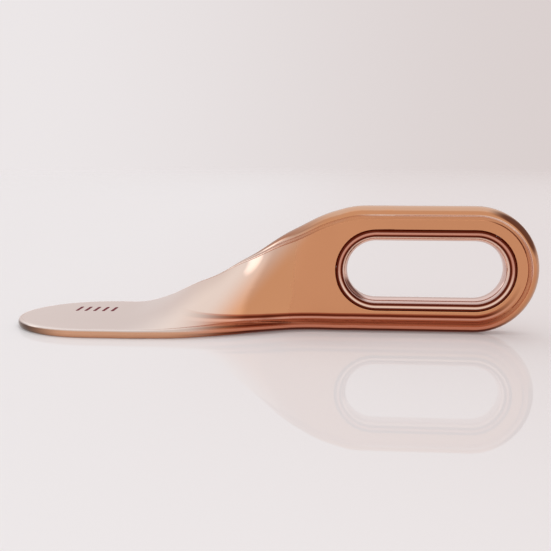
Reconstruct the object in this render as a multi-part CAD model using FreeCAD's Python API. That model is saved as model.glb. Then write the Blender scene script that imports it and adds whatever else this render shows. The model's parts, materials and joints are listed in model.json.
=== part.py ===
"""Ultrasonic skin scrubber: a mirror-polished strip that is a flat blade at one end and,
after a quarter twist through a narrow neck, an upright loop handle at the other.

Frame: X along the strip from blade tip to loop end, Y across the blade, Z up from the
table. The origin is the centre of the footprint on the table. Lengths are millimetres.
"""
import FreeCAD, Part
import math
import os

V = FreeCAD.Vector

# ---- strip: driving dimensions ----
LENGTH = 193.9
BLADE_WIDTH = 55.0
BLADE_THICK = 3.0
TIP_LENGTH = 32.0
HANDLE_HEIGHT = 46.0
HANDLE_THICK = 9.0
HANDLE_Y = -6.7
EDGE_BAND = 0.4
EDGE_STRETCH = 0.70
GROOVE_SHARE = 0.185
GROOVE_DEPTH = 0.24
TIP_X = -LENGTH / 2
TIP_CENTRE_X = TIP_X + TIP_LENGTH
LOOP_X = LENGTH / 2 - HANDLE_HEIGHT / 2
MID_Z = HANDLE_HEIGHT / 2
FRONT_Y = HANDLE_Y - HANDLE_THICK / 2
BACK_Y = HANDLE_Y + HANDLE_THICK / 2

# Neck stations between the straight blade and the straight handle:
# x, strip width, thickness, twist in degrees, offset of the strip's middle from HANDLE_Y.
BLADE_OFFSET = -HANDLE_Y
NECK = [
    (-62.75, BLADE_WIDTH, BLADE_THICK, 0.0, BLADE_OFFSET),
    (-57.75, BLADE_WIDTH, BLADE_THICK, 0.0, BLADE_OFFSET),
    (-52.75, BLADE_WIDTH, BLADE_THICK, 0.6, BLADE_OFFSET),
    (-44.75, 54.0, 3.1, 3.2, 6.3),
    (-36.75, 50.8, 3.3, 7.8, 5.1),
    (-28.75, 45.3, 3.8, 13.8, 3.1),
    (-18.75, 36.4, 4.6, 26.5, 0.5),
    (-10.75, 32.8, 5.7, 42.0, -0.3),
    (-3.75, 31.9, 6.9, 59.0, -0.6),
    (2.25, 33.9, 7.9, 73.5, -0.4),
    (7.25, 36.3, 8.7, 83.5, -0.1),
    (11.25, 38.3, HANDLE_THICK, 88.0, 0.0),
    (15.25, 40.4, HANDLE_THICK, 90.0, 0.0),
    (21.25, 43.1, HANDLE_THICK, 90.0, 0.0),
    (28.25, 45.2, HANDLE_THICK, 90.0, 0.0),
    (35.25, HANDLE_HEIGHT, HANDLE_THICK, 90.0, 0.0),
    (40.25, HANDLE_HEIGHT, HANDLE_THICK, 90.0, 0.0),
    (45.25, HANDLE_HEIGHT, HANDLE_THICK, 90.0, 0.0),
]
POCKET_FIRST_STATION = 8

# ---- finger slot and its liner ----
SLOT_RADIUS = 10.5
SLOT_LEFT_X = 38.9
LINER_ROUND = 3.4
LINER_WALL = 1.0
LIP_WIDTH = 0.6
LIP_THICK = 1.2
LINER_REACH = LINER_ROUND + LIP_WIDTH
LINER_GAP = 0.05
SEAM_BEVEL = 0.3
NOTCH_ANGLES = (24.0, 36.0)
NOTCH_DEPTH = 0.2
SEAL_RING_GAP = 0.1
SEAL_RING_WIDTH = 0.5
SEAL_RING_THICK = 0.6

# ---- casing ----
WALL = 1.3
PLATE_THICK = 1.2
PLATE_GAP = 0.06
PLATE_LEFT_X = 28.15
PLATE_LEFT_RADIUS = 16.9
PLATE_RIGHT_RADIUS = 18.0
LEDGE_WIDTH = 1.0
LEDGE_THICK = 1.0
GASKET_WIDTH = 0.5
GASKET_THICK = 0.5
GASKET_INSET = 0.3

# ---- depths inside the handle, measured from its middle plane towards the back ----
CAVITY_FRONT = -HANDLE_THICK / 2 + WALL
PLATE_INNER = HANDLE_THICK / 2 - PLATE_THICK
LEDGE_INNER = PLATE_INNER - LEDGE_THICK

# ---- screws, button, contacts ----
SCREW_SPOTS = [(19.85, 33.6), (19.85, 12.4)]
SCREW_RADIUS = 0.7
SCREW_HEAD_RADIUS = 1.4
SCREW_HEAD_HEIGHT = 0.7
SCREW_LENGTH = 4.2
BOSS_RADIUS = 2.0
RECESS_LENGTH = 1.6
RECESS_WIDTH = 0.28
RECESS_DEPTH = 0.35
FIT_GAP = 0.02

BUTTON_X = 16.95
BUTTON_RADIUS = 3.4
BUTTON_PROUD = 0.5
BUTTON_TRAVEL = 0.35
BUTTON_EDGE = 0.4
BUTTON_DISH_RADIUS = 14.0
BUTTON_DISH_DEPTH = 0.25
BUTTON_SIDE_GAP = 0.12
FLANGE_RADIUS = 3.95
FLANGE_THICK = 0.6
FLANGE_GAP = 0.3
PLUNGER_RADIUS = 0.8
PLUNGER_GAP = 0.05
BEZEL_RADIUS = 4.6
SEAL_RADIUS = 4.5
SEAL_DEPTH = 1.0

CONTACT_RADIUS = 0.85
CONTACT_ANGLES = (-11.0, 11.0)
CONTACT_RING = 15.95
CONTACT_BUSH = 0.18
PIN_STEP = 1.2
PIN_TAIL_RADIUS = 0.4
PIN_TAIL_DEPTH = -1.6
PIN_SUNK = 0.05
BLOCK_SPAN = (-1.5, 2.2)
BLOCK_HALF_HEIGHT = 5.4
BLOCK_DEPTH = -1.2
BLOCK_CORNER = 0.6
BUSH_OVERLAP = 0.5
LEDGE_GAP = 0.05
MAGNET_RADIUS = 1.9
MAGNET_THICK = 1.4
MAGNET_ANGLES = (-38.0, 38.0)
MAGNET_RING = 16.6

# ---- transducer ----
DISC_X = 14.2
DISC_Z = MID_Z - 2.0
DISC_RADIUS = 4.9
DISC_THICK = 1.0
SHIM_RADIUS = 5.8
SHIM_THICK = 0.5
BOND_RADIUS = 5.0
BOND_THICK = 0.6
BOND_GAP = 0.06

# ---- tray ----
TRAY_GAP = 0.2
TRAY_THICK = 0.6
TRAY_LEFT_X = 31.15
TRAY_LEFT_RADIUS = 17.0
TRAY_RIGHT_RADIUS = 17.5
TRAY_START_X = 25.2
TRAY_SLOT_GAP = 0.3
BOSS_GAP = 0.2
RIB_RINGS = (15.2, 16.6)
CELL_RIB_THICK = 0.8
CELL_RIB_GAP = 0.4
CELL_RIB_TOP = 0.6
BOARD_RIB_THICK = 1.6
BOARD_RIB_SPOTS = (40.0, 66.0)

# ---- boards; heights are above the handle's centre line ----
BOARD_THICK = 0.8
BOARD_CORNER = 0.8
BOARD_DEPTH = -1.2
BOARD_TOP = BOARD_DEPTH + BOARD_THICK
BOARD_SPAN = (32.0, 71.0)
BOARD_RISE = (15.1, 20.6)
BOARD_MIDDLE = 17.8
CHIP_HEIGHT = 1.2
CHIP_WIDTH = 3.4
CHIP_STANDOFF = 0.1
CONTROLLER_X, CONTROLLER_LENGTH = 37.5, 6.4
DRIVER_X, DRIVER_LENGTH = 46.5, 4.8
LEG_PITCH = 0.8
LEG_WIDTH = 0.3
LEG_REACH = 0.5
LEG_THICK = 0.4
COIL_X = 62.0
COIL_RADIUS = 2.4
COIL_HUB_RADIUS = 1.0
COIL_WIRE_RADIUS = 2.1
COIL_FLANGE = 0.5
COIL_HEIGHT = 2.4
CAPACITOR_SPOTS = (51.5, 54.0, 56.5)
CAPACITOR_SIZE = (1.2, 0.9, 2.2)
CAPACITOR_CORNER = 0.2
BUTTON_BOARD_DEPTH = -0.5
BUTTON_BOARD_TOP = BUTTON_BOARD_DEPTH + BOARD_THICK
BUTTON_BOARD_HALF = (4.5, 7.0)
LED_SIZE = (1.0, 0.4, 0.6)
LED_SHIFT = 4.2
SWITCH_SIZE = 3.4
SWITCH_HEIGHT = 0.7
SWITCH_CORNER = 0.4
DOME_RADIUS = 1.0
DOME_HEIGHT = 0.3

# ---- cell and leads ----
CELL_SPAN = (32.2, 73.2)
CELL_HALF_THICK = 2.1
CELL_RISE = (-20.6, -14.9)
CELL_CORNER = 1.5
PAD_SPAN = (35.0, 71.0)
PAD_THICK = 0.25
PAD_RISE = (-17.6, -15.2)
LEAD_BEND_SHARE = 0.45
BATTERY_LEAD_RADIUS = 0.35
BATTERY_LEAD_RINGS = (18.4, 19.5)
BATTERY_LEAD_DEPTH = -1.9
BATTERY_LEAD_STEP = 30
TRANSDUCER_LEAD_RADIUS = 0.25
TRANSDUCER_LEAD_DEPTH = -0.83
TRANSDUCER_LEAD_PITCH = 1.1
# X, Z spots of the first transducer lead: up from the disc, round the corner, along the top.
TRANSDUCER_LEAD_RISE = [(13.45, 22.0), (14.2, 29.5)]
TRANSDUCER_LEAD_CORNER = (16.4, 36.4)
TRANSDUCER_LEAD_TOP = [(23.2, 39.0), (31.6, 40.4)]

# ---- mark ----
BAR_COUNT = 5
BAR_FIRST_X = -77.3
BAR_PITCH = 3.5
BAR_Y = 10.0
BAR_LENGTH = 8.4
BAR_WIDTH = 1.3
BAR_DEPTH = 0.2

os.makedirs("parts", exist_ok=True)


def depth_y(depth):
    """World Y of a depth measured from the handle's middle plane."""
    return HANDLE_Y + depth


def save(name, shape):
    """Write one node and report its size."""
    shape.exportStep(f"parts/{name}.step")
    print(f"{name:20s} solids {len(shape.Solids)} volume {shape.Volume:10.2f} valid {shape.isValid()}")


# ---------------------------------------------------------------- strip sections
def edge_round(width, thick, inset):
    """Edge rounding along the strip's width and thickness, and where its flat face ends."""
    deep = (thick - EDGE_BAND) / 2 - inset
    wide = (thick - EDGE_BAND) / 2 * EDGE_STRETCH - inset
    return wide, deep, width / 2 - inset - wide


def section_frame(station):
    """Centre and the two unit directions of a strip section; its low edge touches z = 0."""
    x, width, thick, twist, offset = station
    angle = math.radians(twist)
    wide, deep, flat = edge_round(width, thick, 0)
    rounding = math.hypot(wide * math.sin(angle), deep * math.cos(angle))
    height = flat * math.sin(angle) + EDGE_BAND / 2 * math.cos(angle) + rounding
    centre = V(x, HANDLE_Y + offset, height)
    across = V(0, math.cos(angle), math.sin(angle))
    normal = V(0, -math.sin(angle), math.cos(angle))
    return centre, across, normal


def quarter(centre, point_a, point_b):
    """Quarter of an ellipse between the ends of its two half axes."""
    if centre.distanceToPoint(point_a) < centre.distanceToPoint(point_b):
        point_a, point_b = point_b, point_a
    return Part.ArcOfEllipse(Part.Ellipse(point_a, point_b, centre), 0, math.pi / 2).toShape()


def section_place(station):
    """Function from across and normal positions to a point in space."""
    centre, across, normal = section_frame(station)
    return lambda w, n: centre + across * w + normal * n


def rounded_end(station, inset, side):
    """The rounded edge of a section on one side (+1 or -1): quarter, flat band, quarter."""
    place = section_place(station)
    wide, deep, flat = edge_round(station[1], station[2], inset)
    band = EDGE_BAND / 2
    start, rim = side * flat, side * (flat + wide)
    return [
        quarter(place(start, band), place(rim, band), place(start, band + deep)),
        Part.LineSegment(place(rim, band), place(rim, -band)).toShape(),
        quarter(place(start, -band), place(rim, -band), place(start, -band - deep)),
    ]


def face_edges(station, inset, start_across, side):
    """Upper and lower face lines of a section; the outer form has a groove by the upper rounding."""
    place = section_place(station)
    wide, deep, flat = edge_round(station[1], station[2], inset)
    half = EDGE_BAND / 2 + deep
    groove = 0.0 if inset else GROOVE_SHARE * station[2]
    edges = [
        Part.LineSegment(place(start_across, half), place(side * (flat - groove), half)).toShape(),
        Part.LineSegment(place(start_across, -half), place(side * flat, -half)).toShape(),
    ]
    if groove:
        floor = place(side * (flat - groove / 2), half - groove * GROOVE_DEPTH)
        edges.append(Part.Arc(place(side * (flat - groove), half), floor, place(side * flat, half)).toShape())
    return edges


def section_wire(station, inset=0.0):
    """Closed wire of a strip section with rounded edges, shrunk by an inset."""
    edges = []
    for side in (1, -1):
        edges += rounded_end(station, inset, side) + face_edges(station, inset, 0.0, side)
    return Part.Wire(Part.__sortEdges__(edges))


def half_section_face(station, inset=0.0):
    """Face of the +1 half of a section, for turning an end of the strip."""
    place = section_place(station)
    half = EDGE_BAND / 2 + edge_round(station[1], station[2], inset)[1]
    edges = rounded_end(station, inset, 1) + face_edges(station, inset, 0.0, 1)
    edges.append(Part.LineSegment(place(0, -half), place(0, half)).toShape())
    return Part.Face(Part.Wire(Part.__sortEdges__(edges)))


def blade_tip():
    """Half ellipse in plan: a turned half disc stretched along X."""
    station = (TIP_CENTRE_X, BLADE_WIDTH, BLADE_THICK, 0.0, BLADE_OFFSET)
    half_disc = half_section_face(station).revolve(V(TIP_CENTRE_X, 0, 0), V(0, 0, 1), 180)
    stretch = FreeCAD.Matrix()
    stretch.move(V(-TIP_CENTRE_X, 0, 0))
    stretch.scale(TIP_LENGTH / (BLADE_WIDTH / 2), 1, 1)
    stretch.move(V(TIP_CENTRE_X, 0, 0))
    return half_disc.transformGeometry(stretch)


def blade_straight():
    """Parallel part of the blade between the tip and the neck."""
    station = (TIP_CENTRE_X, BLADE_WIDTH, BLADE_THICK, 0.0, BLADE_OFFSET)
    return Part.Face(section_wire(station)).extrude(V(NECK[0][0] - TIP_CENTRE_X, 0, 0))


def neck(stations, inset=0.0):
    """Twisting part of the strip, lofted through its stations."""
    return Part.makeLoft([section_wire(station, inset) for station in stations], True, False)


def handle_straight(inset=0.0):
    """Parallel part of the handle up to the centre of its round end."""
    last = NECK[-1]
    return Part.Face(section_wire(last, inset)).extrude(V(LOOP_X - last[0], 0, 0))


def handle_end(inset=0.0):
    """Round outer end of the handle."""
    station = (LOOP_X,) + NECK[-1][1:]
    return half_section_face(station, inset).revolve(V(LOOP_X, 0, MID_Z), V(0, 1, 0), 180)


def strip():
    """The whole outer form as one solid, before it is hollowed."""
    pieces = [blade_straight(), neck(NECK), handle_straight(), handle_end()]
    return blade_tip().multiFuse(pieces)


# ---------------------------------------------------------------- flat outlines
def hull_wire(x_left, r_left, x_right, r_right, depth):
    """Outline that wraps two circles on the handle's centre line."""
    lean = math.asin((r_right - r_left) / (x_right - x_left))
    y = depth_y(depth)

    def on_circle(x, radius, angle):
        return V(x + radius * math.cos(angle), y, MID_Z + radius * math.sin(angle))

    touch = math.pi / 2 + lean
    left_top, left_low = on_circle(x_left, r_left, touch), on_circle(x_left, r_left, -touch)
    right_top, right_low = on_circle(x_right, r_right, touch), on_circle(x_right, r_right, -touch)
    return Part.Wire([
        Part.LineSegment(left_top, right_top).toShape(),
        Part.Arc(right_top, on_circle(x_right, r_right, 0), right_low).toShape(),
        Part.LineSegment(right_low, left_low).toShape(),
        Part.Arc(left_low, on_circle(x_left, r_left, math.pi), left_top).toShape(),
    ])


def hull_prism(x_left, r_left, x_right, r_right, depth_from, depth_to):
    """Prism over the outline that wraps two circles."""
    wire = hull_wire(x_left, r_left, x_right, r_right, depth_from)
    return Part.Face(wire).extrude(V(0, depth_to - depth_from, 0))


def slot_prism(reach, depth_from, depth_to):
    """Stadium prism round the finger slot, its edge a reach outside the opening."""
    radius = SLOT_RADIUS + reach
    return hull_prism(SLOT_LEFT_X, radius, LOOP_X, radius, depth_from, depth_to)


def slot_flare(side):
    """Stadium cutter that bevels the casing's edge round the liner on one face."""
    face = side * HANDLE_THICK / 2
    radius = SLOT_RADIUS + LINER_REACH + LINER_GAP
    inner = hull_wire(SLOT_LEFT_X, radius, LOOP_X, radius, face - side * SEAM_BEVEL)
    outer_radius = radius + 2 * SEAM_BEVEL
    outer = hull_wire(SLOT_LEFT_X, outer_radius, LOOP_X, outer_radius, face + side * SEAM_BEVEL)
    return Part.makeLoft([inner, outer], True, True)


def plate_prism(grow, depth_from, depth_to):
    """Prism over the rear plate's outline, grown or shrunk."""
    return hull_prism(PLATE_LEFT_X, PLATE_LEFT_RADIUS + grow, LOOP_X, PLATE_RIGHT_RADIUS + grow,
                      depth_from, depth_to)


def cylinder(x, z, radius, depth_from, depth_to):
    """Cylinder along Y at a spot on the handle."""
    return Part.makeCylinder(radius, depth_to - depth_from, V(x, depth_y(depth_from), z), V(0, 1, 0))


def box(x_from, x_to, depth_from, depth_to, z_from, z_to):
    """Box between two corners, its Y given as depths."""
    return Part.makeBox(x_to - x_from, depth_to - depth_from, z_to - z_from,
                        V(x_from, depth_y(depth_from), z_from))


def loop_spot(ring, angle):
    """Point on a ring round the loop's centre; angle 0 points to the outer end."""
    turn = math.radians(angle)
    return LOOP_X + ring * math.cos(turn), MID_Z + ring * math.sin(turn)


def rounded(shape, radius, direction):
    """Fillet the straight edges of a block that run along a direction."""
    edges = [edge for edge in shape.Edges if abs(edge.tangentAt(edge.FirstParameter).dot(direction)) > 0.99]
    return shape.makeFillet(radius, edges)


# ---------------------------------------------------------------- casing
def pocket():
    """Hollow inside the handle and the neck's root, with the opening for the rear plate."""
    hollow = neck(NECK[POCKET_FIRST_STATION:], WALL).multiFuse([handle_straight(WALL), handle_end(WALL)])
    start = NECK[POCKET_FIRST_STATION][0] - HANDLE_THICK
    under_ledge = box(start, LENGTH / 2, -HANDLE_THICK, LEDGE_INNER, 0, HANDLE_HEIGHT)
    neck_root = box(start, PLATE_LEFT_X - PLATE_LEFT_RADIUS, -HANDLE_THICK, HANDLE_THICK, 0, HANDLE_HEIGHT)
    hollow = hollow.common(under_ledge.fuse(neck_root))
    opening = plate_prism(-LEDGE_WIDTH, LEDGE_INNER - 1, PLATE_INNER + 1)
    recess = plate_prism(PLATE_GAP, PLATE_INNER, HANDLE_THICK)
    return hollow.multiFuse([opening, recess, gasket_ring()])


def gasket_ring():
    """Ring set in a groove of the ledge that the rear plate rests on."""
    ring = plate_prism(-GASKET_INSET, PLATE_INNER - GASKET_THICK, PLATE_INNER)
    return ring.cut(plate_prism(-GASKET_INSET - GASKET_WIDTH, 0, HANDLE_THICK))


def bosses():
    """Screw bosses that stand on the front wall."""
    posts = []
    for x, z in SCREW_SPOTS:
        post = cylinder(x, z, BOSS_RADIUS, CAVITY_FRONT - WALL / 2, PLATE_INNER)
        hole = cylinder(x, z, SCREW_RADIUS, PLATE_INNER - SCREW_LENGTH, PLATE_INNER)
        posts.append(post.cut(hole))
    return posts


def blade_body(mark_pockets):
    """One-piece polished body: blade, neck, and the handle's front and edge."""
    body = strip().cut(pocket())
    body = body.cut(slot_prism(LINER_REACH + LINER_GAP, -HANDLE_THICK, HANDLE_THICK))
    body = body.cut(slot_flare(-1))
    body = body.multiFuse(bosses())
    return body.cut(mark_pockets).removeSplitter()


def round_point(radius, reach_from, side, angle):
    """Reach and depth on the liner's mouth round; angle 0 is its face, 90 degrees the slot wall."""
    turn = math.radians(angle)
    reach = reach_from + radius * (1 - math.sin(turn))
    return reach, side * (HANDLE_THICK / 2 - LINER_ROUND + radius * math.cos(turn))


def liner_section():
    """Face of the liner's section at the slot's top: a channel with rounded, notched mouths."""
    base_z = MID_Z + SLOT_RADIUS
    half = HANDLE_THICK / 2
    inner_round = LINER_ROUND - LINER_WALL
    inner_face = half - LIP_THICK

    def place(reach, depth):
        return V(SLOT_LEFT_X, depth_y(depth), base_z + reach)

    def arc(radius, reach_from, side, start, end, sink=0.0):
        """Arc of a mouth round between two angles, its middle sunk for a notch."""
        middle = round_point(radius - sink, reach_from + sink, side, (start + end) / 2)
        ends = [round_point(radius, reach_from, side, angle) for angle in (start, end)]
        return Part.Arc(place(*ends[0]), place(*middle), place(*ends[1])).toShape()

    depth = half - LINER_ROUND
    edges = [Part.LineSegment(place(0, -depth), place(0, depth)).toShape()]
    edges.append(Part.LineSegment(place(LINER_WALL, -depth), place(LINER_WALL, depth)).toShape())
    for side in (-1, 1):
        edges.append(arc(LINER_ROUND, 0, side, 0, NOTCH_ANGLES[0]))
        edges.append(arc(LINER_ROUND, 0, side, *NOTCH_ANGLES, NOTCH_DEPTH))
        edges.append(arc(LINER_ROUND, 0, side, NOTCH_ANGLES[1], 90))
        edges.append(arc(inner_round, LINER_WALL, side, 0, 90))
        lip = [place(LINER_ROUND, side * half), place(LINER_REACH - SEAM_BEVEL, side * half)]
        lip += [place(LINER_REACH, side * (half - SEAM_BEVEL)), place(LINER_REACH, side * inner_face)]
        lip += [place(LINER_ROUND, side * inner_face), place(*round_point(inner_round, LINER_WALL, side, 0))]
        edges += [Part.LineSegment(a, b).toShape() for a, b in zip(lip, lip[1:])]
    return Part.Face(Part.Wire(Part.__sortEdges__(edges)))


def slot_liner():
    """Polished channel that lines the finger slot."""
    top = liner_section()
    run = V(LOOP_X - SLOT_LEFT_X, 0, 0)
    upper = top.extrude(run)
    left = top.revolve(V(SLOT_LEFT_X, 0, MID_Z), V(0, 1, 0), -180)
    right = top.translated(run).revolve(V(LOOP_X, 0, MID_Z), V(0, 1, 0), 180)
    lower = top.rotated(V(SLOT_LEFT_X, 0, MID_Z), V(0, 1, 0), 180).extrude(run)
    return upper.multiFuse([left, right, lower]).removeSplitter()


def countersink(x, z, grow):
    """Screw head cone, widest at the handle's back face."""
    top = HANDLE_THICK / 2
    return Part.makeCone(SCREW_RADIUS + grow, SCREW_HEAD_RADIUS + grow, SCREW_HEAD_HEIGHT,
                         V(x, depth_y(top - SCREW_HEAD_HEIGHT), z), V(0, 1, 0))


def rear_plate():
    """Inset back cover with holes for the liner, bezel, screws and charging contacts."""
    top = HANDLE_THICK / 2
    plate = plate_prism(0, PLATE_INNER, top)
    cuts = [slot_prism(LINER_REACH + LINER_GAP, 0, HANDLE_THICK), slot_flare(1)]
    cuts.append(cylinder(BUTTON_X, MID_Z, BEZEL_RADIUS + PLATE_GAP, 0, HANDLE_THICK))
    for x, z in SCREW_SPOTS:
        cuts.append(cylinder(x, z, SCREW_RADIUS + PLATE_GAP, 0, HANDLE_THICK))
        cuts.append(countersink(x, z, PLATE_GAP))
    for angle in CONTACT_ANGLES:
        x, z = loop_spot(CONTACT_RING, angle)
        cuts.append(cylinder(x, z, CONTACT_RADIUS + CONTACT_BUSH + FIT_GAP, 0, HANDLE_THICK))
    return plate.cut(cuts)


def plate_screws():
    """Countersunk cross-recess screws that hold the rear plate."""
    top = HANDLE_THICK / 2
    long, narrow = RECESS_LENGTH / 2, RECESS_WIDTH / 2
    screws = []
    for x, z in SCREW_SPOTS:
        shank = cylinder(x, z, SCREW_RADIUS - FIT_GAP, top - SCREW_LENGTH, top - SCREW_HEAD_HEIGHT)
        screw = shank.fuse(countersink(x, z, 0))
        cross = [box(x - dx, x + dx, top - RECESS_DEPTH, top + RECESS_DEPTH, z - dz, z + dz)
                 for dx, dz in ((long, narrow), (narrow, long))]
        screws.append(screw.cut(cross))
    return Part.makeCompound(screws)


# ---------------------------------------------------------------- seals and tray
def slot_seals():
    """Two silicone rings between the liner's lips and the casing."""
    inner_face = HANDLE_THICK / 2 - LIP_THICK
    outer = LINER_REACH - SEAL_RING_GAP
    rings = []
    for depth in (-inner_face, inner_face - SEAL_RING_THICK):
        ring = slot_prism(outer, depth, depth + SEAL_RING_THICK)
        rings.append(ring.cut(slot_prism(outer - SEAL_RING_WIDTH, -HANDLE_THICK, HANDLE_THICK)))
    return Part.makeCompound(rings)


def chassis():
    """Moulded tray on the front wall that carries the cell and the driver board."""
    floor = CAVITY_FRONT + TRAY_GAP
    inner, outer = RIB_RINGS
    tray = hull_prism(TRAY_LEFT_X, TRAY_LEFT_RADIUS, LOOP_X, TRAY_RIGHT_RADIUS, floor, floor + TRAY_THICK)
    ribs = []
    for x in (CELL_SPAN[0] - CELL_RIB_GAP - CELL_RIB_THICK, CELL_SPAN[1] + CELL_RIB_GAP):
        ribs.append(box(x, x + CELL_RIB_THICK, floor, CELL_RIB_TOP, MID_Z - outer, MID_Z - inner))
    for x in BOARD_RIB_SPOTS:
        ribs.append(box(x, x + BOARD_RIB_THICK, floor, BOARD_DEPTH - LEDGE_GAP, MID_Z + inner, MID_Z + outer))
    web = box(0, TRAY_START_X, -HANDLE_THICK, HANDLE_THICK, 0, HANDLE_HEIGHT)
    slot = slot_prism(LINER_REACH + TRAY_SLOT_GAP, -HANDLE_THICK, HANDLE_THICK)
    holes = [cylinder(x, z, BOSS_RADIUS + BOSS_GAP, -HANDLE_THICK, HANDLE_THICK) for x, z in SCREW_SPOTS]
    return tray.multiFuse(ribs).cut([slot, web] + holes)


# ---------------------------------------------------------------- transducer
def transducer(body):
    """Bond layer, brass shim and piezo disc, stacked on the neck's front wall."""
    shim_from = CAVITY_FRONT + BOND_THICK
    disc_from = shim_from + SHIM_THICK
    bond = cylinder(DISC_X, DISC_Z, BOND_RADIUS, CAVITY_FRONT, shim_from).cut(
        body.translated(V(0, BOND_GAP, 0)))
    shim = cylinder(DISC_X, DISC_Z, SHIM_RADIUS, shim_from, disc_from)
    disc = cylinder(DISC_X, DISC_Z, DISC_RADIUS, disc_from, disc_from + DISC_THICK)
    return bond, shim, disc


# ---------------------------------------------------------------- boards
def main_board():
    """Driver board in the upper rail."""
    low, high = BOARD_RISE
    board = box(*BOARD_SPAN, BOARD_DEPTH, BOARD_TOP, MID_Z + low, MID_Z + high)
    return rounded(board, BOARD_CORNER, V(0, 1, 0))


def button_board():
    """Small board behind the button."""
    half_x, half_z = BUTTON_BOARD_HALF
    board = box(BUTTON_X - half_x, BUTTON_X + half_x, BUTTON_BOARD_DEPTH, BUTTON_BOARD_TOP,
                MID_Z - half_z, MID_Z + half_z)
    return rounded(board, BOARD_CORNER, V(0, 1, 0))


def chip(x, length):
    """Moulded chip body on the driver board, with legs on its long sides."""
    z = MID_Z + BOARD_MIDDLE
    body = box(x - length / 2, x + length / 2, BOARD_TOP + CHIP_STANDOFF, BOARD_TOP + CHIP_HEIGHT,
               z - CHIP_WIDTH / 2, z + CHIP_WIDTH / 2)
    count = int(length / LEG_PITCH) - 1
    legs = []
    for index in range(count):
        leg_x = x + (index - (count - 1) / 2) * LEG_PITCH
        for side in (-1, 1):
            edge = z + side * CHIP_WIDTH / 2
            z_from, z_to = sorted((edge, edge + side * LEG_REACH))
            legs.append(box(leg_x - LEG_WIDTH / 2, leg_x + LEG_WIDTH / 2, BOARD_TOP, BOARD_TOP + LEG_THICK,
                            z_from, z_to))
    return body.multiFuse(legs)


def drive_coil():
    """Drum-core step-up coil: two flanges and a winding."""
    z = MID_Z + BOARD_MIDDLE
    top = BOARD_TOP + COIL_HEIGHT
    low, high = BOARD_TOP + COIL_FLANGE, top - COIL_FLANGE
    hub = cylinder(COIL_X, z, COIL_HUB_RADIUS, low, high)
    core = hub.multiFuse([cylinder(COIL_X, z, COIL_RADIUS, BOARD_TOP, low),
                          cylinder(COIL_X, z, COIL_RADIUS, high, top)])
    return core, cylinder(COIL_X, z, COIL_WIRE_RADIUS, low, high).cut(hub)


def capacitors():
    """Row of ceramic capacitors on the driver board."""
    length, height, width = CAPACITOR_SIZE
    z = MID_Z + BOARD_MIDDLE
    blocks = [box(x, x + length, BOARD_TOP, BOARD_TOP + height, z - width / 2, z + width / 2)
              for x in CAPACITOR_SPOTS]
    return Part.makeCompound([rounded(block, CAPACITOR_CORNER, V(0, 1, 0)) for block in blocks])


def status_leds():
    """Two light-emitting chips either side of the switch."""
    length, height, width = LED_SIZE
    return Part.makeCompound([box(BUTTON_X - length / 2, BUTTON_X + length / 2, BUTTON_BOARD_TOP,
                                  BUTTON_BOARD_TOP + height, z - width / 2, z + width / 2)
                              for z in (MID_Z - LED_SHIFT, MID_Z + LED_SHIFT)])


def tact_switch():
    """Low-profile switch with its dome."""
    half = SWITCH_SIZE / 2
    top = BUTTON_BOARD_TOP + SWITCH_HEIGHT
    body = box(BUTTON_X - half, BUTTON_X + half, BUTTON_BOARD_TOP, top, MID_Z - half, MID_Z + half)
    dome = cylinder(BUTTON_X, MID_Z, DOME_RADIUS, top, top + DOME_HEIGHT)
    return rounded(body, SWITCH_CORNER, V(0, 1, 0)).fuse(dome)


# ---------------------------------------------------------------- button group
def power_button():
    """Dished round cap with a flange and a plunger over the switch."""
    top = HANDLE_THICK / 2 + BUTTON_PROUD
    flange_top = PLATE_INNER - FLANGE_GAP
    cap_from = flange_top - FLANGE_THICK / 2
    cap = cylinder(BUTTON_X, MID_Z, BUTTON_RADIUS, cap_from, top)
    outer_face = max(cap.Faces, key=lambda face: face.CenterOfMass.y)
    cap = cap.makeFillet(BUTTON_EDGE, outer_face.Edges)
    dish = Part.makeSphere(BUTTON_DISH_RADIUS,
                           V(BUTTON_X, depth_y(top - BUTTON_DISH_DEPTH) + BUTTON_DISH_RADIUS, MID_Z))
    flange = cylinder(BUTTON_X, MID_Z, FLANGE_RADIUS, flange_top - FLANGE_THICK, flange_top)
    rest = BUTTON_BOARD_TOP + SWITCH_HEIGHT + DOME_HEIGHT + BUTTON_TRAVEL + PLUNGER_GAP
    plunger = cylinder(BUTTON_X, MID_Z, PLUNGER_RADIUS, rest, cap_from)
    return cap.cut(dish).multiFuse([flange, plunger])


def button_bezel():
    """Translucent light ring fixed in the rear plate round the button."""
    ring = cylinder(BUTTON_X, MID_Z, BEZEL_RADIUS, PLATE_INNER, HANDLE_THICK / 2)
    return ring.cut(cylinder(BUTTON_X, MID_Z, BUTTON_RADIUS + BUTTON_SIDE_GAP, 0, HANDLE_THICK))


def button_seal():
    """Silicone ring that closes the gap below the bezel."""
    ring = cylinder(BUTTON_X, MID_Z, SEAL_RADIUS, SEAL_DEPTH, PLATE_INNER)
    return ring.cut(cylinder(BUTTON_X, MID_Z, FLANGE_RADIUS + BUTTON_SIDE_GAP, 0, HANDLE_THICK))


# ---------------------------------------------------------------- power
def battery_cell():
    """Slim rounded lithium cell in the lower rail."""
    low, high = CELL_RISE
    cell = box(*CELL_SPAN, -CELL_HALF_THICK, CELL_HALF_THICK, MID_Z + low, MID_Z + high)
    return rounded(cell, CELL_CORNER, V(1, 0, 0))


def battery_pad():
    """Foam strip between the tray and the cell."""
    depth = CAVITY_FRONT + TRAY_GAP + TRAY_THICK
    low, high = PAD_RISE
    return box(*PAD_SPAN, depth, depth + PAD_THICK, MID_Z + low, MID_Z + high)


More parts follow.
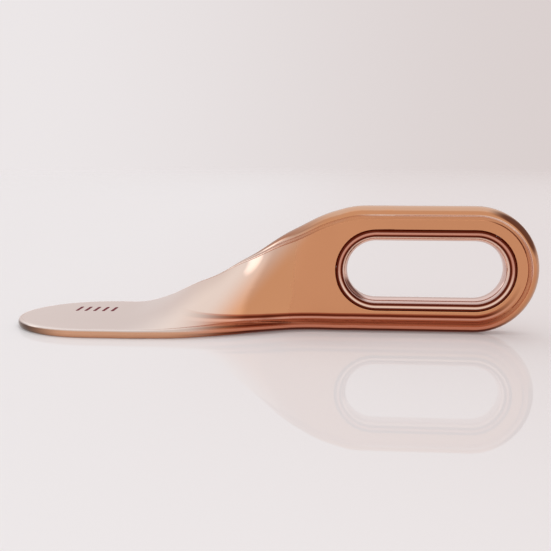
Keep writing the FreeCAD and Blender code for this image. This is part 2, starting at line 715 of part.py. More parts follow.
def charge_contacts():
    """Two gold-plated contact pins, flush with the back."""
    pins = []
    for angle in CONTACT_ANGLES:
        x, z = loop_spot(CONTACT_RING, angle)
        pin = cylinder(x, z, CONTACT_RADIUS, PIN_STEP, HANDLE_THICK / 2 - PIN_SUNK)
        pins.append(pin.fuse(cylinder(x, z, PIN_TAIL_RADIUS, PIN_TAIL_DEPTH, PIN_STEP)))
    return Part.makeCompound(pins)


def contact_block():
    """Insulating block that holds the contact pins behind the plate."""
    x, z = loop_spot(CONTACT_RING, 0)
    top = LEDGE_INNER - LEDGE_GAP
    block = box(x + BLOCK_SPAN[0], x + BLOCK_SPAN[1], BLOCK_DEPTH, top,
                z - BLOCK_HALF_HEIGHT, z + BLOCK_HALF_HEIGHT)
    cuts = [slot_prism(LINER_REACH + BOSS_GAP, -HANDLE_THICK, HANDLE_THICK)]
    bushes = []
    for angle in CONTACT_ANGLES:
        spot = loop_spot(CONTACT_RING, angle)
        bushes.append(cylinder(*spot, CONTACT_RADIUS + CONTACT_BUSH, top - BUSH_OVERLAP, HANDLE_THICK / 2))
        cuts.append(cylinder(*spot, CONTACT_RADIUS, PIN_STEP, HANDLE_THICK))
        cuts.append(cylinder(*spot, PIN_TAIL_RADIUS, -HANDLE_THICK, HANDLE_THICK))
    return rounded(block, BLOCK_CORNER, V(0, 1, 0)).multiFuse(bushes).cut(cuts)


def dock_magnets():
    """Disc magnets under the plate's ledge that hold a charging lead in place."""
    top = LEDGE_INNER - LEDGE_GAP
    return Part.makeCompound([cylinder(*loop_spot(MAGNET_RING, angle), MAGNET_RADIUS, top - MAGNET_THICK, top)
                              for angle in MAGNET_ANGLES])


# ---------------------------------------------------------------- leads
def lead(spots, depth, radius):
    """Tube at one depth through X, Z spots: straight runs joined by tangent arcs."""
    points = [V(x, depth_y(depth), z) for x, z in spots]
    last = points[0]
    edges = []
    for before, corner, after in zip(points, points[1:], points[2:]):
        to_before, to_after = (before - corner).normalize(), (after - corner).normalize()
        turn = math.pi - to_before.getAngle(to_after)
        run = LEAD_BEND_SHARE * min(before.distanceToPoint(corner), corner.distanceToPoint(after))
        bend = run / math.tan(turn / 2)
        start, end = corner + to_before * run, corner + to_after * run
        middle = corner + (to_before + to_after).normalize() * (math.hypot(run, bend) - bend)
        edges.append(Part.LineSegment(last, start).toShape())
        edges.append(Part.Arc(start, middle, end).toShape())
        last = end
    edges.append(Part.LineSegment(last, points[-1]).toShape())
    direction = (points[1] - points[0]).normalize()
    profile = Part.Wire(Part.Circle(points[0], direction, radius).toShape())
    return Part.Wire(edges).makePipeShell([profile], True, False, 2)


def battery_leads():
    """Two insulated leads from the cell, round the loop end, to the driver board."""
    tubes = []
    half_step = BATTERY_LEAD_STEP // 2
    for ring in BATTERY_LEAD_RINGS:
        corner_ring = ring / math.cos(math.radians(half_step))
        angles = range(half_step - 90, 90, BATTERY_LEAD_STEP)
        spots = [(LOOP_X, MID_Z - ring)]
        spots += [loop_spot(corner_ring, angle) for angle in angles]
        spots += [(LOOP_X, MID_Z + ring)]
        tubes.append(lead(spots, BATTERY_LEAD_DEPTH, BATTERY_LEAD_RADIUS))
    return Part.makeCompound(tubes)


def transducer_leads():
    """Two leads from the piezo disc up to the driver board."""
    tubes = []
    corner_x, corner_z = TRANSDUCER_LEAD_CORNER
    for shift in (0.0, TRANSDUCER_LEAD_PITCH):
        spots = [(x - shift, z) for x, z in TRANSDUCER_LEAD_RISE]
        spots += [(corner_x - shift, corner_z + shift)]
        spots += [(x, z + shift) for x, z in TRANSDUCER_LEAD_TOP]
        tubes.append(lead(spots, TRANSDUCER_LEAD_DEPTH, TRANSDUCER_LEAD_RADIUS))
    return Part.makeCompound(tubes)


# ---------------------------------------------------------------- mark
def mark_inlay():
    """Five short enamel bars with round ends, let into the blade's upper face."""
    floor = BLADE_THICK - BAR_DEPTH
    half_run = (BAR_LENGTH - BAR_WIDTH) / 2
    bars = []
    for index in range(BAR_COUNT):
        x = BAR_FIRST_X + index * BAR_PITCH
        bar = Part.makeBox(BAR_WIDTH, 2 * half_run, BAR_DEPTH, V(x - BAR_WIDTH / 2, BAR_Y - half_run, floor))
        ends = [Part.makeCylinder(BAR_WIDTH / 2, BAR_DEPTH, V(x, BAR_Y + side * half_run, floor))
                for side in (-1, 1)]
        bars.append(bar.multiFuse(ends).removeSplitter())
    return Part.makeCompound(bars)


def build():
    """Make every node and write it."""
    bars = mark_inlay()
    save("mark_inlay", bars)
    body = blade_body(bars.Solids)
    save("blade_body", body)
    save("rear_plate", rear_plate())
    save("slot_liner", slot_liner())
    save("plate_screws", plate_screws())
    save("plate_gasket", gasket_ring())
    save("slot_seals", slot_seals())
    save("chassis", chassis())
    bond, shim, disc = transducer(body)
    save("transducer_bond", bond)
    save("transducer_shim", shim)
    save("piezo_disc", disc)
    save("main_board", main_board())
    save("controller_chip", chip(CONTROLLER_X, CONTROLLER_LENGTH))
    save("driver_chip", chip(DRIVER_X, DRIVER_LENGTH))
    coil_core, coil_winding = drive_coil()
    save("coil_core", coil_core)
    save("coil_winding", coil_winding)
    save("capacitors", capacitors())
    save("button_board", button_board())
    save("status_leds", status_leds())
    save("tact_switch", tact_switch())
    save("power_button", power_button())
    save("button_bezel", button_bezel())
    save("button_seal", button_seal())
    save("battery_cell", battery_cell())
    save("battery_pad", battery_pad())
    save("charge_contacts", charge_contacts())
    save("contact_block", contact_block())
    save("dock_magnets", dock_magnets())
    save("battery_leads", battery_leads())
    save("transducer_leads", transducer_leads())


build()
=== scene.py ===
"""Looks of the skin scrubber: rose-gold mirror metal on a glossy pale surface in a bright studio."""
import bpy
import json
import math
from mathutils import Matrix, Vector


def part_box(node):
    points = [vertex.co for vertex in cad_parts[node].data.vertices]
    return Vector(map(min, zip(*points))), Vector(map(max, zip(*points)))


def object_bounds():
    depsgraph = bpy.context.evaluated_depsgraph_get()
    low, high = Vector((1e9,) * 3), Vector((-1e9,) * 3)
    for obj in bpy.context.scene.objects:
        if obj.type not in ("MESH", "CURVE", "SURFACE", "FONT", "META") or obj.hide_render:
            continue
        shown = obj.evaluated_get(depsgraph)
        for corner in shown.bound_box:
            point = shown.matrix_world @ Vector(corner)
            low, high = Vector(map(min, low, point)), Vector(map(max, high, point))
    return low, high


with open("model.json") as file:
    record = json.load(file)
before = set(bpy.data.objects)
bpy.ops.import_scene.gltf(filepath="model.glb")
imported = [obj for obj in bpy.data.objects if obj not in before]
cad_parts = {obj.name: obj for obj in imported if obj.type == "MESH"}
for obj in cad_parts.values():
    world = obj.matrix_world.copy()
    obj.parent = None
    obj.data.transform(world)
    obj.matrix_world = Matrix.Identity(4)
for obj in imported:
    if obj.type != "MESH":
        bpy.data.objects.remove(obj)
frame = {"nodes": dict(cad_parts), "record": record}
cad_low, cad_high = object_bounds()
NODES = frame["nodes"]

# ---- camera: its place in metres, its turn and dip in radians, its lens in mm ----
CAMERA_TURN = 0.0797
CAMERA_DISTANCE = 0.300
CAMERA_SIDE = 0.00253
CAMERA_HEIGHT = 0.0684
CAMERA_DIP = 0.1577
LENS = 54.67
SENSOR_WIDTH = 36.0
CLIP_RANGE = (0.01, 20.0)

# ---- tones: the rose gold's own colour first, then painted reflections, highlights and shade ----
ROSE = (0.70, 0.325, 0.163)
ROSE_EDGE = (0.97, 0.93, 0.90)
# Painted reflection: pale blade and neck tones standing in for the bright backdrop they mirror.
BLADE_SHEEN_TONE = (0.76, 0.665, 0.63)
NECK_SHEEN_TONE = (0.76, 0.60, 0.52)
# Painted reflection: copper on the blade's side, dark at its tip.
BLADE_EDGE_REFLECTION = (0.70, 0.38, 0.235)
TIP_DARK_REFLECTION = (0.10, 0.055, 0.04)
# Painted shade along the neck's back edge.
NECK_EDGE_SHADE = (0.36, 0.16, 0.095)
# Painted reflection tone on the handle's rounded rim.
RIM_REFLECTION_TONE = (0.61, 0.36, 0.24)
# Painted reflection on the finger slot's wall.
WALL_REFLECTION_TONE = (0.69, 0.50, 0.455)
# Painted shade, and dark painted shade lines, for grooves, seams, the slot and the lower edge.
DEEP_SHADE = (0.40, 0.10, 0.045)
LINE = (0.13, 0.02, 0.008)
# Painted highlight, then painted reflection tones for the slot's bead, the groove's lip and the lower
# edge's band.
SHINE = (0.93, 0.66, 0.53)
SALMON_REFLECTION = (0.68, 0.32, 0.23)
COPPER_REFLECTION = (0.76, 0.30, 0.19)

# ---- painted lines of shade, highlight and reflection: (middle, half width) in mm, with a soft edge ----
MILLIMETRE = 0.001
LINE_SOFT = 0.35
# Round the finger slot, inward from the liner's outer edge.
# Painted shade in the seam and notch, painted reflection on the bead, painted highlight at the mouth,
# painted shade up to the wall.
SEAM = (0.35, 0.30)
BEAD = (1.05, 0.30)
NOTCH = (2.05, 0.20)
MOUTH = (2.95, 0.35)
WALL_SPAN = (3.15, 3.45)
# Along the handle's edges, inward from the outline.
# Painted highlight line on the handle's face near its top edge.
RIM_HIGHLIGHT = (3.15, 0.10)
# Painted shade and reflections along the lower edge: shadow at the foot, a copper band, shade in the
# groove and crease, a highlight on the groove's lip.
FOOT_SHADOW = (1.2, 0.15)
EDGE_BAND = (2.3, 0.35)
GROOVE = (3.65, 0.20)
GROOVE_LIP = (5.55, 0.15)
CREASE = (6.45, 0.20)

# ---- spans of the tones in metres: each tone fades in from the first value to the second ----
# Along X.
# Where the blade's pale painted reflection turns to the neck's, and where the blade side's painted
# reflection runs from dark to copper.
NECK_SPAN = (-0.050, -0.024)
COPPER_SIDE_SPAN = (-0.090, -0.070)
BLADE_SIDE_SPAN = (-0.012, -0.030)
# Where the rim's painted reflection tone and painted highlight line lie.
RIM_SPAN = (0.006, 0.016)
RIM_HIGHLIGHT_SPAN = (0.030, 0.040)
# Where the lower edge's painted shade and reflections lie.
LOWER_START = (-0.034, -0.006)
LOWER_END = (0.093, 0.077)
# Where the painted shade on the neck's back edge lies.
BACK_EDGE_START = (-0.050, -0.036)
BACK_EDGE_END = (0.026, 0.004)
TWIST_SPAN = (-0.040, 0.018)
GROOVE_SPAN = (-0.045, -0.020)
# Along X less ROSE_LEAN times Z, which slants with the neck.
ROSE_LEAN = 0.9
ROSE_SPAN = (-0.031, -0.015)
# Along Z.
BLADE_SIDE_HEIGHT = (0.0028, 0.0022)
RIM_HIGHLIGHT_HEIGHT = (0.018, 0.024)
LOWER_HEIGHT = (0.020, 0.015)
SLOT_LOW_HEIGHT = (0.026, 0.015)
GROOVE_HIGH = (0.030, 0.040)
# Away from the handle's middle plane.
RIM_DEPTH = (0.0043, 0.0034)
RIM_HIGHLIGHT_DEPTH = (0.0030, 0.0042)
# Inward from the outline, and away from the slot's middle line.
LOWER_REACH = (0.0074, 0.0071)
LINER_REACH = (0.0147, 0.0145)

# ---- painted shade in grooves: found from how much of the near surface hides the rest ----
GROOVE_SIGHT = 2.5
GROOVE_OPEN = (0.95, 0.84)
GROOVE_HIGH_SHARE = 0.3
GROOVE_BLADE_SHARE = 0.25
BACK_EDGE_FACING = (0.15, 0.45)

# ---- polish of the metal ----
DRIFT_SCALE = 26.0
DRIFT_STOPS = [(0.35, 0.97), (0.65, 1.0)]
WIPE_SCALE = 420.0
WIPE_STRETCH = (0.12, 1, 1)
WIPE_STOPS = (0.3, 0.75)
POLISH_WAVE = 60.0
POLISH_DEPTH = 0.00001
POLISH_STRENGTH = 0.15

# ---- grain of the plain parts ----
DRIFT_SHARE = 0.12
PLAIN_STOPS = (0.3, 0.7)
ROUGH_SPREAD = 0.15
GRAIN_STRENGTH = 0.5
ENAMEL_SPECULAR = 0.05

# ---- floor ----
FLOOR_SIZE = 8.0
FLOOR_GAP = 0.00002
# Painted shade: the floor lighter on the left and darker on the right.
FLOOR_LIT_LEFT = (0.90, 0.87, 0.875)
FLOOR_SHADED_RIGHT = (0.84, 0.78, 0.775)
FLOOR_ACROSS = (-0.14, 0.14)
FLOOR_FAR = (0.5, 2.2)
FLOOR_MIRROR = 0.15
FLOOR_MIRROR_ROUGH = 0.015
FLOOR_GLOW = 0.12

# ---- sky: tones, and spans in the parts of its unit direction ----
SKY_LEFT = (0.84, 0.80, 0.805)
SKY_RIGHT = (0.70, 0.63, 0.62)
SKY_HIGH = (1.05, 1.06, 1.07)
SKY_FRONT = (0.83, 0.81, 0.805)
SKY_DARK = (0.20, 0.13, 0.12)
SKY_ACROSS = (-0.42, 0.30)
SKY_UP = (0.16, 0.5)
SKY_TO_FRONT = (-0.10, -0.40)
DRAPE_ACROSS = (0.30, 0.62)
DRAPE_UP = (0.02, 0.22)
DRAPE_BACK = (-0.85, -0.60)
WINDOW_DIRECTION = (-0.889, 0.173, 0.423)
WINDOW_SPREAD = (0.970, 0.999)
WINDOW_LIGHT = (1.7, 1.7, 1.7)


# ---------------------------------------------------------------- node helpers
def new_material(name):
    """Empty node material with its output and Principled shader."""
    material = bpy.data.materials.new(name)
    material.use_nodes = True
    tree = material.node_tree
    shader = tree.nodes["Principled BSDF"]
    return material, tree, shader


def add(tree, kind, **inputs):
    """Add a node and set its inputs by name."""
    node = tree.nodes.new(kind)
    for key, value in inputs.items():
        node.inputs[key.replace("_", " ")].default_value = value
    return node


def ramp(tree, factor, stops):
    """Colour ramp over a factor; stops are (position, colour)."""
    node = tree.nodes.new("ShaderNodeValToRGB")
    elements = node.color_ramp.elements
    while len(elements) < len(stops):
        elements.new(0.5)
    for element, (position, colour) in zip(elements, stops):
        element.position = position
        element.color = (*colour, 1)
    tree.links.new(factor, node.inputs["Fac"])
    return node.outputs["Color"]


def grey(value):
    """Colour of one grey value."""
    return (value, value, value)


def noise(tree, scale, detail=3.0, stretch=(1, 1, 1)):
    """Noise in the object's own coordinates, in cycles per metre."""
    place = tree.nodes.new("ShaderNodeTexCoord")
    mapping = tree.nodes.new("ShaderNodeMapping")
    mapping.inputs["Scale"].default_value = stretch
    texture = add(tree, "ShaderNodeTexNoise", Scale=scale, Detail=detail)
    tree.links.new(place.outputs["Object"], mapping.inputs["Vector"])
    tree.links.new(mapping.outputs["Vector"], texture.inputs["Vector"])
    return texture.outputs["Fac"]


def between(tree, factor, start, end):
    """Grey value that runs from start to end with a factor from 0 to 1."""
    return ramp(tree, factor, [(0.0, grey(start)), (1.0, grey(end))])


def bump(tree, shader, height, distance, strength=1.0):
    """Bump from a height, its distance in metres."""
    node = add(tree, "ShaderNodeBump", Strength=strength, Distance=distance)
    tree.links.new(height, node.inputs["Height"])
    tree.links.new(node.outputs["Normal"], shader.inputs["Normal"])


def position(tree):
    """X, Y and Z of the surface point, in metres."""
    place = tree.nodes.new("ShaderNodeTexCoord")
    split = tree.nodes.new("ShaderNodeSeparateXYZ")
    tree.links.new(place.outputs["Object"], split.inputs["Vector"])
    return split.outputs


def fade(tree, value, start, end):
    """Smooth step of a value: 0 at start, 1 at end."""
    node = tree.nodes.new("ShaderNodeMapRange")
    node.interpolation_type = "SMOOTHSTEP"
    node.inputs["From Min"].default_value = start
    node.inputs["From Max"].default_value = end
    tree.links.new(value, node.inputs["Value"])
    return node.outputs["Result"]


def math_node(tree, operation, *values):
    """Math node over sockets and plain numbers."""
    node = tree.nodes.new("ShaderNodeMath")
    node.operation = operation
    for socket, value in zip(node.inputs, values):
        if isinstance(value, (int, float)):
            socket.default_value = value
        else:
            tree.links.new(value, socket)
    return node.outputs["Value"]


def times(tree, a, b):
    """Product of two values."""
    return math_node(tree, "MULTIPLY", a, b)


def blend(tree, factor, low, high):
    """Mix of two colours; each is a socket or a plain colour."""
    node = tree.nodes.new("ShaderNodeMix")
    node.data_type = "RGBA"
    tree.links.new(factor, node.inputs["Factor"])
    for socket, colour in zip(node.inputs[6:8], (low, high)):
        if isinstance(colour, tuple):
            socket.default_value = (*colour, 1)
        else:
            tree.links.new(colour, socket)
    return node.outputs[2]


# ---------------------------------------------------------------- plating, with painted reflections, highlights and shade
def line(tree, distance, place, below, tone):
    """Lay a soft-edged line of tone over a colour, where a distance is near the line's place."""
    middle, half = place
    away = math_node(tree, "SUBTRACT", distance, middle * MILLIMETRE)
    away = math_node(tree, "ABSOLUTE", away)
    mask = fade(tree, away, (half + LINE_SOFT) * MILLIMETRE, half * MILLIMETRE)
    return blend(tree, mask, below, tone)


def slot_reach(tree, spot, round_left):
    """Distance from the finger slot's middle line, in metres; its left end is round or endless."""
    low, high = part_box("slot_seals")
    radius = (high.z - low.z) / 2
    past = math_node(tree, "SUBTRACT", spot["X"], high.x - radius)
    if round_left:
        past = math_node(tree, "MAXIMUM", past, math_node(tree, "SUBTRACT", low.x + radius, spot["X"]))
    along = math_node(tree, "MAXIMUM", past, 0.0)
    rise = math_node(tree, "SUBTRACT", spot["Z"], (high.z + low.z) / 2)
    squares = math_node(tree, "ADD", times(tree, along, along), times(tree, rise, rise))
    return math_node(tree, "SQRT", squares)


def middle_y():
    """Y of the handle's middle plane."""
    low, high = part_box("slot_liner")
    return (low.y + high.y) / 2


def slot_shade_and_shine(tree, spot, reach):
    """Painted light on the liner: painted shade lines in the seam and notch, a painted reflection on the
    bead between them, a painted highlight at the mouth and a pale painted reflection on the wall,
    changing with height.
    """
    low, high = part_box("slot_liner")
    inward = math_node(tree, "SUBTRACT", (high.z - low.z) / 2, reach)
    start, end = WALL_SPAN
    tone = blend(tree, fade(tree, inward, start * MILLIMETRE, end * MILLIMETRE), DEEP_SHADE, WALL_REFLECTION_TONE)
    low_down = fade(tree, spot["Z"], *SLOT_LOW_HEIGHT)
    bead_reflection = blend(tree, low_down, SALMON_REFLECTION, SHINE)
    mouth_highlight = blend(tree, low_down, SHINE, WALL_REFLECTION_TONE)
    lines = ((MOUTH, mouth_highlight), (NOTCH, LINE), (BEAD, bead_reflection), (SEAM, LINE))
    for place, line_tone in lines:
        tone = line(tree, inward, place, tone, line_tone)
    return tone


def lower_edge_shade(tree, inward):
    """Painted shade and reflections along the handle's lower edge: painted shadow at the foot, painted
    shade in the groove and crease, a painted copper reflection band and a painted highlight on the
    groove's lip.
    """
    tone = DEEP_SHADE
    lines = ((FOOT_SHADOW, LINE), (EDGE_BAND, COPPER_REFLECTION), (GROOVE, LINE), (GROOVE_LIP, SALMON_REFLECTION), (CREASE, LINE))
    for place, line_tone in lines:
        tone = line(tree, inward, place, tone, line_tone)
    return tone


def back_edge_shade_mask(tree, spot):
    """1 on the neck's back edge, which faces +Y at the blade and turns to +Z at the handle; painted shade
    goes there.
    """
    turn = math_node(tree, "MULTIPLY", fade(tree, spot["X"], *TWIST_SPAN), math.pi / 2)
    geometry = tree.nodes.new("ShaderNodeNewGeometry")
    split = tree.nodes.new("ShaderNodeSeparateXYZ")
    tree.links.new(geometry.outputs["Normal"], split.inputs["Vector"])
    along_y = times(tree, split.outputs["Y"], math_node(tree, "COSINE", turn))
    along_z = times(tree, split.outputs["Z"], math_node(tree, "SINE", turn))
    facing = fade(tree, math_node(tree, "ADD", along_y, along_z), *BACK_EDGE_FACING)
    span = times(tree, fade(tree, spot["X"], *BACK_EDGE_START), fade(tree, spot["X"], *BACK_EDGE_END))
    return times(tree, facing, span)


def blade_and_neck_sheen(tree, spot):
    """Pale blade and neck as painted reflection of the bright backdrop, with a painted copper reflection
    on the blade's side and a painted dark reflection at its tip, turning to rose gold at the handle.
    """
    tone = blend(tree, fade(tree, spot["X"], *NECK_SPAN), BLADE_SHEEN_TONE, NECK_SHEEN_TONE)
    side_reflection = blend(tree, fade(tree, spot["X"], *COPPER_SIDE_SPAN), TIP_DARK_REFLECTION, BLADE_EDGE_REFLECTION)
    side = times(tree, fade(tree, spot["Z"], *BLADE_SIDE_HEIGHT), fade(tree, spot["X"], *BLADE_SIDE_SPAN))
    tone = blend(tree, side, tone, side_reflection)
    lean = math_node(tree, "SUBTRACT", spot["X"], math_node(tree, "MULTIPLY", spot["Z"], ROSE_LEAN))
    return blend(tree, fade(tree, lean, *ROSE_SPAN), tone, ROSE)


def handle_edge_light(tree, spot, tone):
    """Lay painted light over a tone: the rim's painted reflection tone, its painted highlight line and
    the lower edge's painted shade and reflection lines.
    """
    depth = math_node(tree, "ABSOLUTE", math_node(tree, "SUBTRACT", spot["Y"], middle_y()))
    rim = times(tree, fade(tree, depth, *RIM_DEPTH), fade(tree, spot["X"], *RIM_SPAN))
    tone = blend(tree, rim, tone, RIM_REFLECTION_TONE)
    from_edge = math_node(tree, "SUBTRACT", cad_high.z / 2, slot_reach(tree, spot, False))
    high_up = times(tree, fade(tree, spot["Z"], *RIM_HIGHLIGHT_HEIGHT), fade(tree, spot["X"], *RIM_HIGHLIGHT_SPAN))
    face = times(tree, high_up, fade(tree, depth, *RIM_HIGHLIGHT_DEPTH))
    tone = blend(tree, face, tone, line(tree, from_edge, RIM_HIGHLIGHT, tone, SHINE))
    below = times(tree, fade(tree, spot["Z"], *LOWER_HEIGHT), fade(tree, from_edge, *LOWER_REACH))
    along = times(tree, fade(tree, spot["X"], *LOWER_START), fade(tree, spot["X"], *LOWER_END))
    return blend(tree, times(tree, below, along), tone, lower_edge_shade(tree, from_edge))


def groove_shade_share(tree, spot, reach):
    """1 where painted shade goes: in deep grooves outside the liner, less high up and on the blade."""
    occlusion = add(tree, "ShaderNodeAmbientOcclusion", Distance=GROOVE_SIGHT * MILLIMETRE)
    occlusion.only_local = True
    groove = fade(tree, occlusion.outputs["AO"], *GROOVE_OPEN)
    height_share = between(tree, fade(tree, spot["Z"], *GROOVE_HIGH), 1.0, GROOVE_HIGH_SHARE)
    groove = times(tree, groove, height_share)
    blade_share = between(tree, fade(tree, spot["X"], *GROOVE_SPAN), GROOVE_BLADE_SHARE, 1.0)
    outside = times(tree, fade(tree, reach, *reversed(LINER_REACH)), blade_share)
    return times(tree, groove, outside)


def plating_with_painted_light(tree):
    """Rose gold with painted light: a painted pale reflection on the blade and neck, painted shade in
    grooves and low down, and painted shade and highlight lines round the slot and along the edges.
    """
    spot = position(tree)
    tone = handle_edge_light(tree, spot, blade_and_neck_sheen(tree, spot))
    reach = slot_reach(tree, spot, True)
    # Painted shade, highlights and reflections round the finger slot.
    tone = blend(tree, fade(tree, reach, *LINER_REACH), tone, slot_shade_and_shine(tree, spot, reach))
    # Painted shade on the neck's back edge.
    tone = blend(tree, back_edge_shade_mask(tree, spot), tone, NECK_EDGE_SHADE)
    # Painted shade in grooves, from ambient occlusion.
    return blend(tree, groove_shade_share(tree, spot, reach), tone, DEEP_SHADE)


# ---------------------------------------------------------------- materials
def polished_metal(name, edge, rough_low, rough_high):
    """Polished coated metal: slight tone drift, uneven polish and fine wipe marks."""
    material, tree, shader = new_material(name)
    shader.inputs["Metallic"].default_value = 1.0
    shader.inputs["Specular Tint"].default_value = (*edge, 1)
    drift = noise(tree, DRIFT_SCALE, 2.0)
    shade = ramp(tree, drift, [(at, grey(value)) for at, value in DRIFT_STOPS])
    product = tree.nodes.new("ShaderNodeMix")
    product.data_type = "RGBA"
    product.blend_type = "MULTIPLY"
    product.inputs["Factor"].default_value = 1.0
    # Base colour: rose gold with painted reflections, highlights and shade.
    tree.links.new(plating_with_painted_light(tree), product.inputs[6])
    tree.links.new(shade, product.inputs[7])
    tree.links.new(product.outputs[2], shader.inputs["Base Color"])
    wipe = noise(tree, WIPE_SCALE, 4.0, WIPE_STRETCH)
    rough = ramp(tree, wipe, list(zip(WIPE_STOPS, (grey(rough_low), grey(rough_high)))))
    tree.links.new(rough, shader.inputs["Roughness"])
    bump(tree, shader, noise(tree, POLISH_WAVE, 1.0), POLISH_DEPTH, POLISH_STRENGTH)
    return material


def plain_part(name, colour, rough, metallic=0.0, grain=900.0, relief=0.00002, spread=0.06):
    """Moulded, fired or cast part with a fine grain, tone drift and uneven gloss."""
    material, tree, shader = new_material(name)
    shader.inputs["Metallic"].default_value = metallic
    drift = noise(tree, grain * DRIFT_SHARE, 3.0)
    low = tuple(c * (1 - spread) for c in colour)
    high = tuple(min(1.0, c * (1 + spread)) for c in colour)
    shade = ramp(tree, drift, list(zip(PLAIN_STOPS, (low, high))))
    tree.links.new(shade, shader.inputs["Base Color"])
    fine = noise(tree, grain, 4.0)
    rough_low = rough * (1 - ROUGH_SPREAD)
    rough_high = min(1, rough * (1 + ROUGH_SPREAD))
    uneven = ramp(tree, fine, list(zip(PLAIN_STOPS, (grey(rough_low), grey(rough_high)))))
    tree.links.new(uneven, shader.inputs["Roughness"])
    bump(tree, shader, fine, relief, GRAIN_STRENGTH)
    return material


MATERIALS = {
    "rose_gold": polished_metal("rose_gold", ROSE_EDGE, 0.015, 0.05),
    "rose_gold_plate": polished_metal("rose_gold_plate", ROSE_EDGE, 0.05, 0.10),
    "enamel": plain_part("enamel", (0.20, 0.02, 0.035), 0.6),
    "screw_steel": plain_part("screw_steel", (0.70, 0.45, 0.33), 0.28, 1.0, 3000.0),
    "silicone": plain_part("silicone", (0.20, 0.18, 0.17), 0.6),
    "tray_plastic": plain_part("tray_plastic", (0.76, 0.75, 0.72), 0.5),
    "epoxy": plain_part("epoxy", (0.62, 0.50, 0.25), 0.2),
    "brass_shim": plain_part("brass_shim", (0.80, 0.58, 0.25), 0.3, 1.0),
    "piezo_ceramic": plain_part("piezo_ceramic", (0.80, 0.78, 0.72), 0.35, 0.3),
    "board": plain_part("board", (0.02, 0.16, 0.07), 0.3),
    "chip": plain_part("chip", (0.02, 0.02, 0.022), 0.45),
    "ferrite": plain_part("ferrite", (0.06, 0.06, 0.065), 0.6),
    "copper_wire": plain_part("copper_wire", (0.72, 0.28, 0.12), 0.3, 1.0),
    "capacitor": plain_part("capacitor", (0.45, 0.32, 0.20), 0.5),
    "led": plain_part("led", (0.95, 0.90, 0.70), 0.2),
    "switch": plain_part("switch", (0.05, 0.05, 0.05), 0.4),
    "button": polished_metal("button", ROSE_EDGE, 0.10, 0.18),
    "light_ring": plain_part("light_ring", (0.86, 0.84, 0.80), 0.35),
    "cell_foil": plain_part("cell_foil", (0.72, 0.73, 0.75), 0.3, 1.0, 500.0, 0.00006),
    "foam": plain_part("foam", (0.05, 0.05, 0.05), 0.95, 0.0, 2500.0, 0.00015),
    "gold": plain_part("gold", (0.95, 0.68, 0.28), 0.15, 1.0),
    "black_plastic": plain_part("black_plastic", (0.02, 0.02, 0.02), 0.4),
    "magnet": plain_part("magnet", (0.72, 0.72, 0.74), 0.2, 1.0),
    "lead_red": plain_part("lead_red", (0.45, 0.02, 0.02), 0.4),
    "lead_white": plain_part("lead_white", (0.80, 0.79, 0.75), 0.4),
}
enamel_shader = MATERIALS["enamel"].node_tree.nodes["Principled BSDF"]
enamel_shader.inputs["Specular IOR Level"].default_value = ENAMEL_SPECULAR


def dress_nodes():
    """Give every CAD node the material of its slot."""
    for row in frame["record"]["subparts"]:
        slots = NODES[row["node"]].data.materials
        slots.clear()
        slots.append(MATERIALS[row["material_slot"]])


# ---------------------------------------------------------------- stage, light, camera
def floor_material():
    """Pale gloss table: matt, painted lighter on the left and darker on the right as painted shade, with
    a faint mirror layer and a slight glow, fading out far away.
    """
    material, tree, shader = new_material("stage_floor")
    tree.nodes.remove(shader)
    spot = position(tree)
    across = fade(tree, spot["X"], *FLOOR_ACROSS)
    tone = blend(tree, across, FLOOR_LIT_LEFT, FLOOR_SHADED_RIGHT)
    matt = tree.nodes.new("ShaderNodeBsdfDiffuse")
    tree.links.new(tone, matt.inputs["Color"])
    gloss = tree.nodes.new("ShaderNodeBsdfGlossy")
    gloss.inputs["Roughness"].default_value = FLOOR_MIRROR_ROUGH
    layer = tree.nodes.new("ShaderNodeMixShader")
    layer.inputs["Fac"].default_value = FLOOR_MIRROR
    tree.links.new(matt.outputs[0], layer.inputs[1])
    tree.links.new(gloss.outputs[0], layer.inputs[2])
    glow = add(tree, "ShaderNodeEmission", Strength=FLOOR_GLOW)
    lit = tree.nodes.new("ShaderNodeAddShader")
    tree.links.new(layer.outputs[0], lit.inputs[0])
    tree.links.new(glow.outputs[0], lit.inputs[1])
    length = tree.nodes.new("ShaderNodeVectorMath")
    length.operation = "LENGTH"
    place = tree.nodes.new("ShaderNodeTexCoord")
    tree.links.new(place.outputs["Object"], length.inputs[0])
    clear = tree.nodes.new("ShaderNodeBsdfTransparent")
    edge = tree.nodes.new("ShaderNodeMixShader")
    tree.links.new(fade(tree, length.outputs["Value"], *FLOOR_FAR), edge.inputs["Fac"])
    tree.links.new(lit.outputs[0], edge.inputs[1])
    tree.links.new(clear.outputs[0], edge.inputs[2])
    tree.links.new(edge.outputs[0], tree.nodes["Material Output"].inputs["Surface"])
    return material


def make_floor():
    """One large plane just under the object's lowest point."""
    bpy.ops.mesh.primitive_plane_add(size=FLOOR_SIZE, location=(0, 0, cad_low.z - FLOOR_GAP))
    floor = bpy.context.object
    floor.name = "floor"
    floor.data.materials.append(floor_material())


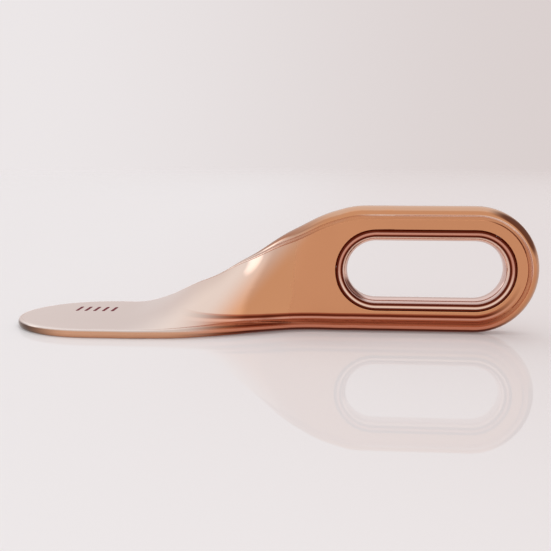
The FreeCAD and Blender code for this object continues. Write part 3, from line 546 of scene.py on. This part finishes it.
def make_world():
    """Bright studio: pale all round, a window high on the left, a dark drape high on the right."""
    world = bpy.data.worlds.new("studio")
    bpy.context.scene.world = world
    world.use_nodes = True
    tree = world.node_tree
    background = tree.nodes["Background"]
    place = tree.nodes.new("ShaderNodeTexCoord")
    split = tree.nodes.new("ShaderNodeSeparateXYZ")
    tree.links.new(place.outputs["Generated"], split.inputs["Vector"])
    side, height = split.outputs["X"], split.outputs["Z"]
    wall = blend(tree, fade(tree, side, *SKY_ACROSS), SKY_LEFT, SKY_RIGHT)
    wall = blend(tree, fade(tree, height, *SKY_UP), wall, SKY_HIGH)
    wall = blend(tree, fade(tree, split.outputs["Y"], *SKY_TO_FRONT), wall, SKY_FRONT)
    drape = times(tree, fade(tree, side, *DRAPE_ACROSS), fade(tree, height, *DRAPE_UP))
    drape = times(tree, drape, fade(tree, split.outputs["Y"], *DRAPE_BACK))
    toward = tree.nodes.new("ShaderNodeVectorMath")
    toward.operation = "DOT_PRODUCT"
    tree.links.new(place.outputs["Generated"], toward.inputs[0])
    toward.inputs[1].default_value = WINDOW_DIRECTION
    window = fade(tree, toward.outputs["Value"], *WINDOW_SPREAD)
    shade = blend(tree, drape, wall, SKY_DARK)
    tree.links.new(blend(tree, window, shade, WINDOW_LIGHT), background.inputs["Color"])
    background.inputs["Strength"].default_value = 1.0


def make_camera():
    """Perspective camera a little above the table, looking along +Y."""
    data = bpy.data.cameras.new("camera")
    camera = bpy.data.objects.new("camera", data)
    bpy.context.scene.collection.objects.link(camera)
    bpy.context.scene.camera = camera
    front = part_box("slot_liner")[0].y
    cos, sin = math.cos(CAMERA_TURN), math.sin(CAMERA_TURN)
    camera.location = (CAMERA_SIDE * cos + CAMERA_DISTANCE * sin,
                       front + CAMERA_SIDE * sin - CAMERA_DISTANCE * cos, CAMERA_HEIGHT)
    camera.rotation_euler = (math.pi / 2 - CAMERA_DIP, 0, CAMERA_TURN)
    data.sensor_width = SENSOR_WIDTH
    data.lens = LENS
    data.clip_start, data.clip_end = CLIP_RANGE


dress_nodes()
make_floor()
make_world()
bpy.context.scene.view_settings.view_transform = "Standard"
make_camera()
